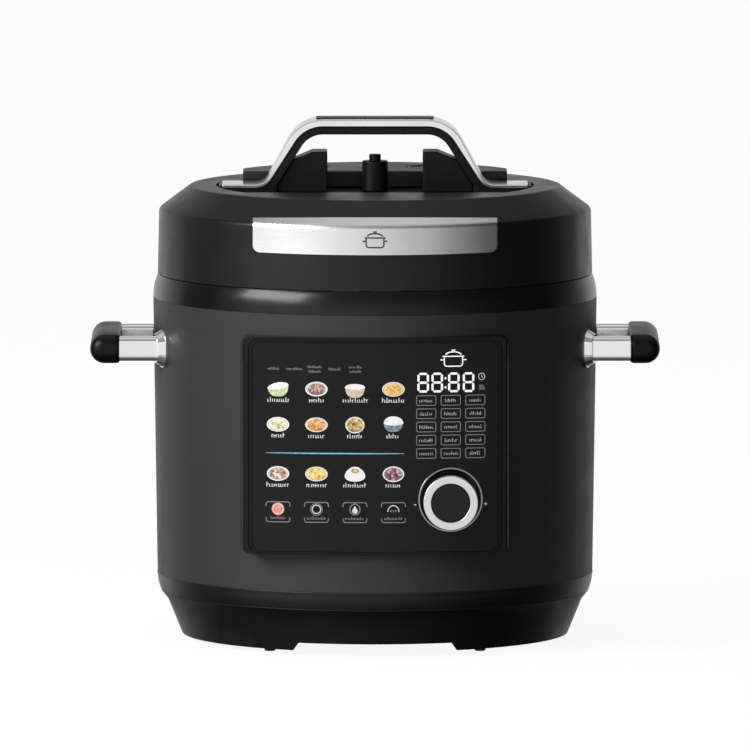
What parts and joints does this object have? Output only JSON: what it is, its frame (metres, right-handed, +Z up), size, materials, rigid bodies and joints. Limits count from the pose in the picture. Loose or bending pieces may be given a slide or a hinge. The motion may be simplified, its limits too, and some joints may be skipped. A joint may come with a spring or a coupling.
{
  "type": "electric pressure cooker",
  "caption": "Round electric pressure cooker with a bayonet lid, chrome top handle, two side handles, curved glass control panel, push-and-turn dial, lift-out pot and drip cup.",
  "frame": {"origin": "on the table, under the middle of the cooker's overall box, which is also the axis of its round body", "axes": "+Z up along the body's axis, -Y towards the user and the control panel, +X to the panel's right, along the line of the two side handles"},
  "size_m": [0.352, 0.3151, 0.3229],
  "materials": {
    "shell_paint": "satin black powder coat",
    "collar_gloss": "semi-gloss black moulding",
    "black_plastic": "fine textured black moulding",
    "grip_plastic": "smooth matte black phenolic",
    "inner_plastic": "plain dark moulding",
    "chrome": "bright chrome plating",
    "brushed_steel": "fine horizontal brushing",
    "steel": "drawn stainless steel",
    "alloy": "satin die-cast aluminium",
    "pot_coating": "anodised pot with dark inside coating",
    "panel_glass": "opaque black printed glass",
    "rubber": "matte rubber",
    "silicone": "translucent white silicone",
    "float_red": "red float pin",
    "smoke_plastic": "smoked clear plastic",
    "circuit": "green circuit board",
    "components": "electronic components",
    "led_module": "white light housing",
    "brass": "turned brass"
  },
  "bodies": {
    "cooker": {"outer_shell": "shell_paint", "top_collar": "collar_gloss", "lower_trim_ring": "collar_gloss", "base_housing": "black_plastic", "base_cover": "inner_plastic", "base_screws": "steel", "rubber_feet": "rubber", "outer_pot": "alloy", "heating_plate": "alloy", "heating_element": "steel", "sensor_housing": "steel", "sensor_spring": "steel", "pressure_switch": "components", "thermal_fuse": "steel", "power_board": "circuit", "power_board_parts": "components", "inlet_socket": "inner_plastic", "inlet_pins": "chrome", "control_bezel": "collar_gloss", "control_glass": "panel_glass", "panel_holder": "inner_plastic", "dial_cup": "inner_plastic", "dial_trim_ring": "chrome", "display_board": "circuit", "display_module": "led_module", "encoder_body": "alloy", "handle_posts": "chrome", "left_handle_grip": "grip_plastic", "right_handle_grip": "grip_plastic", "handle_flanges": "chrome", "handle_bolts": "steel", "cup_bracket": "black_plastic"},
    "pot": {"inner_pot": "pot_coating"},
    "seal": {"sealing_ring": "silicone"},
    "lid": {"lid_cover": "black_plastic", "lid_inner": "steel", "ring_rack": "steel", "front_plate": "brushed_steel", "handle_strip": "brushed_steel", "handle_core": "grip_plastic", "handle_insert": "inner_plastic", "left_handle_block": "grip_plastic", "right_handle_block": "grip_plastic", "lid_screws": "steel", "steam_housing": "black_plastic", "vent_pipe": "steel", "anti_block_shield": "steel", "float_bush": "steel", "release_spring": "steel"},
    "steam_weight": {"steam_valve": "grip_plastic"},
    "float": {"float_valve": "float_red", "float_gasket": "silicone"},
    "release": {"release_button": "black_plastic"},
    "plunger": {"encoder_bush": "brass"},
    "knob": {"knob_body": "grip_plastic", "knob_ring": "chrome", "knob_cap": "black_plastic", "encoder_shaft": "steel"},
    "cup": {"condensation_cup": "smoke_plastic"},
    "sensor": {"sensor_button": "alloy"}
  },
  "joints": [
    {"name": "pot_lift", "type": "slide", "parent": "cooker", "child": "pot", "axis": [0, 0, 1], "range_m": [0, 0.17]},
    {"name": "lid_lift", "type": "slide", "parent": "pot", "child": "seal", "axis": [0, 0, 1], "range_m": [0, 0.12]},
    {"name": "lid_turn", "type": "hinge", "parent": "seal", "child": "lid", "pos_m": [0, 0, 0.228], "axis": [0, 0, -1], "range_deg": [0, 22.5]},
    {"name": "steam_weight_lift", "type": "slide", "parent": "lid", "child": "steam_weight", "axis": [0, 0, 1], "range_m": [0, 0.004]},
    {"name": "float_rise", "type": "slide", "parent": "lid", "child": "float", "axis": [0, 0, 1], "range_m": [0, 0.004]},
    {"name": "release_press", "type": "slide", "parent": "lid", "child": "release", "axis": [0, 0, -1], "range_m": [0, 0.0025], "stiffness_N_per_m": 600, "springref_m": -0.0005, "deforming": ["release_spring"]},
    {"name": "knob_press", "type": "slide", "parent": "cooker", "child": "plunger", "axis": [0, 1, 0], "range_m": [0, 0.001], "stiffness_N_per_m": 1500, "springref_m": -0.0005},
    {"name": "knob_turn", "type": "hinge", "parent": "plunger", "child": "knob", "pos_m": [0.0464, -0.14, 0.0987], "axis": [0, -1, 0], "continuous": true},
    {"name": "cup_slide", "type": "slide", "parent": "cooker", "child": "cup", "axis": [0, 1, 0], "range_m": [0, 0.04]},
    {"name": "sensor_press", "type": "slide", "parent": "cooker", "child": "sensor", "axis": [0, 0, -1], "range_m": [0, 0.002], "stiffness_N_per_m": 500, "springref_m": -0.0005, "deforming": ["sensor_spring"]}
  ]
}
